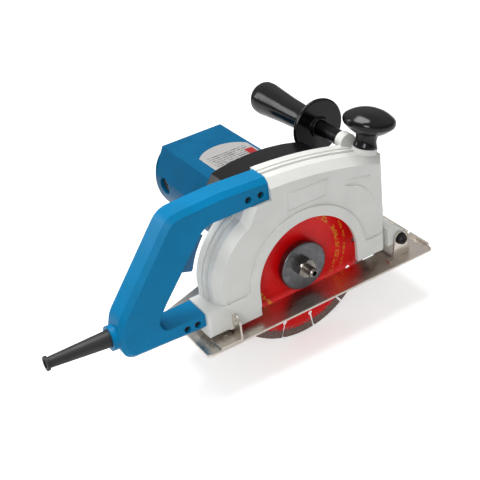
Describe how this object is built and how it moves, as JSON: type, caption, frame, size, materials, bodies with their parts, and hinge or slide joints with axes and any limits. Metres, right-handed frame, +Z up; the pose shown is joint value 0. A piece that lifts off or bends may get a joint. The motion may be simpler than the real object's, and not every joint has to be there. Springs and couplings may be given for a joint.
{
  "type": "wall chaser",
  "caption": "Hand-held masonry cutter: diamond blade under a cast guard on a tilting steel sole, closed rear handle with trigger, cross motor, front knob and side handle.",
  "frame": {"origin": "centre of the blade on the spindle axis, in the blade's middle plane", "axes": "+X forward to the front knob, +Y from the blade to the motor, +Z up"},
  "size_m": [0.4284, 0.2101, 0.2303],
  "materials": {
    "case_paint": "light grey paint, semi-gloss",
    "black_paint": "black paint, satin",
    "zinc_steel": "zinc plated",
    "blue_plastic": "blue moulded plastic, fine texture",
    "blue_trigger": "blue moulded plastic, smooth",
    "label_foil": null,
    "lamination": "stacked sheets",
    "copper_wire": "enamelled copper",
    "brass": "drawn brass",
    "carbon": "pressed carbon",
    "spring_steel": "drawn wire",
    "black_plastic": "black moulded",
    "gloss_black": "polished black",
    "black_rod": "black oxide",
    "dark_screw": "black zinc",
    "rubber": "matt rubber",
    "nickel_plate": "nickel plated, polished",
    "blade_paint": "red enamel",
    "segment": "sintered diamond grit",
    "flange_steel": "blackened, turned",
    "spindle_steel": "turned steel",
    "gear_steel": "ground steel",
    "bearing_steel": "ground and polished",
    "commutator_copper": "turned copper bars"
  },
  "bodies": {
    "machine": {"blade_case": "case_paint", "gear_housing": "black_paint", "gear_housing_screws": "zinc_steel", "motor_housing": "blue_plastic", "motor_end_cover": "blue_plastic", "motor_screws": "zinc_steel", "rating_label": "label_foil", "fan_baffle": "black_plastic", "stator": "lamination", "field_coils": "copper_wire", "brush_holders": "brass", "carbon_brushes": "carbon", "brush_springs": "spring_steel", "brush_caps": "black_plastic", "spindle_front_bearing": "bearing_steel", "spindle_rear_bearing": "bearing_steel", "layshaft_front_bearing": "bearing_steel", "layshaft_rear_bearing": "bearing_steel", "armature_front_bearing": "bearing_steel", "armature_rear_bearing": "bearing_steel", "handle_near_shell": "blue_plastic", "handle_far_shell": "blue_plastic", "handle_screws": "dark_screw", "trigger_pin": "spring_steel", "trigger_spring": "spring_steel", "switch_body": "black_plastic", "lock_spring": "spring_steel", "cord_guard": "rubber", "cord_clamp": "black_plastic", "depth_bolt": "zinc_steel", "depth_washer": "zinc_steel", "front_knob": "gloss_black", "knob_stud": "zinc_steel", "side_handle_rod": "black_rod", "side_handle_grip": "gloss_black", "hand_guard": "gloss_black"},
    "sole": {"base_plate": "nickel_plate", "front_bracket": "nickel_plate", "pivot_bolt": "dark_screw", "pivot_nut": "zinc_steel", "rear_bracket": "nickel_plate", "depth_stay": "nickel_plate"},
    "blade_set": {"blade_core": "blade_paint", "blade_segments": "segment", "inner_flange": "flange_steel", "outer_flange": "flange_steel", "arbor_nut": "spindle_steel", "spindle": "spindle_steel", "spindle_gear": "gear_steel"},
    "layshaft_set": {"layshaft": "gear_steel", "layshaft_gear": "gear_steel"},
    "armature_set": {"armature_shaft": "gear_steel", "armature_core": "lamination", "armature_windings": "copper_wire", "commutator": "commutator_copper", "cooling_fan": "black_plastic"},
    "depth_lever": {"depth_lever": "black_plastic"},
    "trigger": {"trigger": "blue_trigger"},
    "lock_button": {"lock_button": "gloss_black"}
  },
  "joints": [
    {"name": "blade_spin", "type": "hinge", "parent": "machine", "child": "blade_set", "pos_m": [0, 0, 0], "axis": [0, 1, 0], "continuous": true},
    {"name": "layshaft_spin", "type": "hinge", "parent": "machine", "child": "layshaft_set", "pos_m": [0.01207, 0, 0.03232], "axis": [0, 1, 0], "continuous": true},
    {"name": "armature_spin", "type": "hinge", "parent": "machine", "child": "armature_set", "pos_m": [-0.014, 0, 0.05], "axis": [0, 1, 0], "continuous": true},
    {"name": "sole_depth", "type": "hinge", "parent": "machine", "child": "sole", "pos_m": [0.115, 0, -0.01], "axis": [0, -1, 0], "range_deg": [0, 16]},
    {"name": "depth_lever_turn", "type": "hinge", "parent": "machine", "child": "depth_lever", "pos_m": [-0.08999, 0, -0.01179], "axis": [0, 1, 0], "range_deg": [-70, 0]},
    {"name": "trigger_press", "type": "hinge", "parent": "machine", "child": "trigger", "pos_m": [-0.113, 0, 0.092], "axis": [0, 1, 0], "range_deg": [0, 7], "stiffness_Nm_per_rad": 1.4, "springref_deg": -4.58, "deforming": ["trigger_spring"]},
    {"name": "lock_press", "type": "slide", "parent": "machine", "child": "lock_button", "axis": [0, -1, 0], "range_m": [0, 0.003], "stiffness_N_per_m": 700, "springref_m": -0.001, "deforming": ["lock_spring"]}
  ],
  "couplings": [
    {"joint": "layshaft_spin", "follows": "blade_spin", "ratio": -2.2857},
    {"joint": "armature_spin", "follows": "blade_spin", "ratio": 6.4416}
  ]
}
